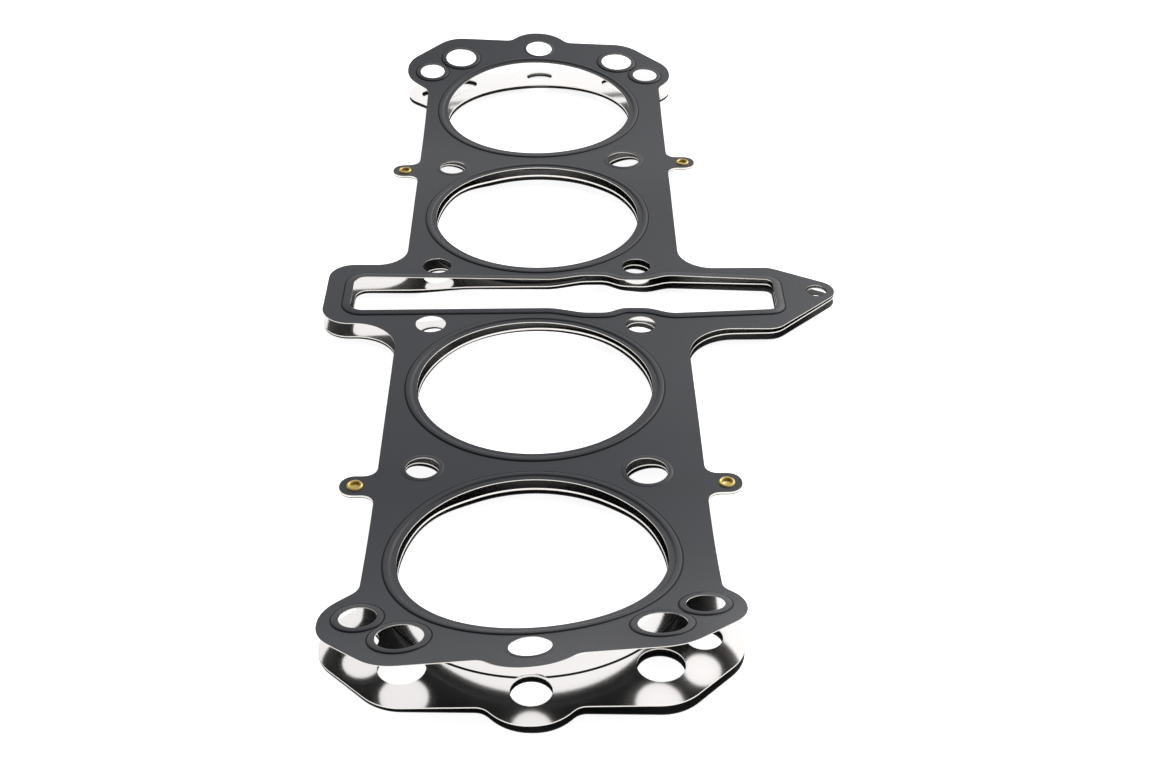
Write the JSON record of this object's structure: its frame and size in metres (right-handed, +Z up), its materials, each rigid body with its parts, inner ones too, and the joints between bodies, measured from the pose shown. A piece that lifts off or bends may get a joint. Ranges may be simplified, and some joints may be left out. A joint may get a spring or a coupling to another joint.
{
  "type": "cylinder head gasket",
  "caption": "Layered steel cylinder head gasket with embossed sealing beads, a central chain slot, stud holes and brass eyelets that clip its sheets.",
  "frame": {"origin": "middle of the four stud holes around the chain slot, which is the middle of the row of bores, on the underside of the bottom sheet there", "axes": "+Y along the row of bores, away from the viewer of the picture; +X across, towards the long arm of the chain tunnel; +Z up, out of the top sheet"},
  "size_m": [0.1882, 0.4336, 0.0305],
  "materials": {
    "coated_steel": "satin dark grey rubber coating on stainless steel",
    "bright_steel": "bright rolled stainless steel, almost a mirror",
    "black_coated_steel": "satin black rubber coating on stainless steel",
    "eyelet_brass": "polished"
  },
  "bodies": {
    "root": {"top_sheet": "coated_steel", "spacer_sheet": "bright_steel", "bottom_sheet": "black_coated_steel", "rivet_near_left": "eyelet_brass", "rivet_near_right": "eyelet_brass", "rivet_far_left": "eyelet_brass", "rivet_far_right": "eyelet_brass"}
  },
  "joints": []
}
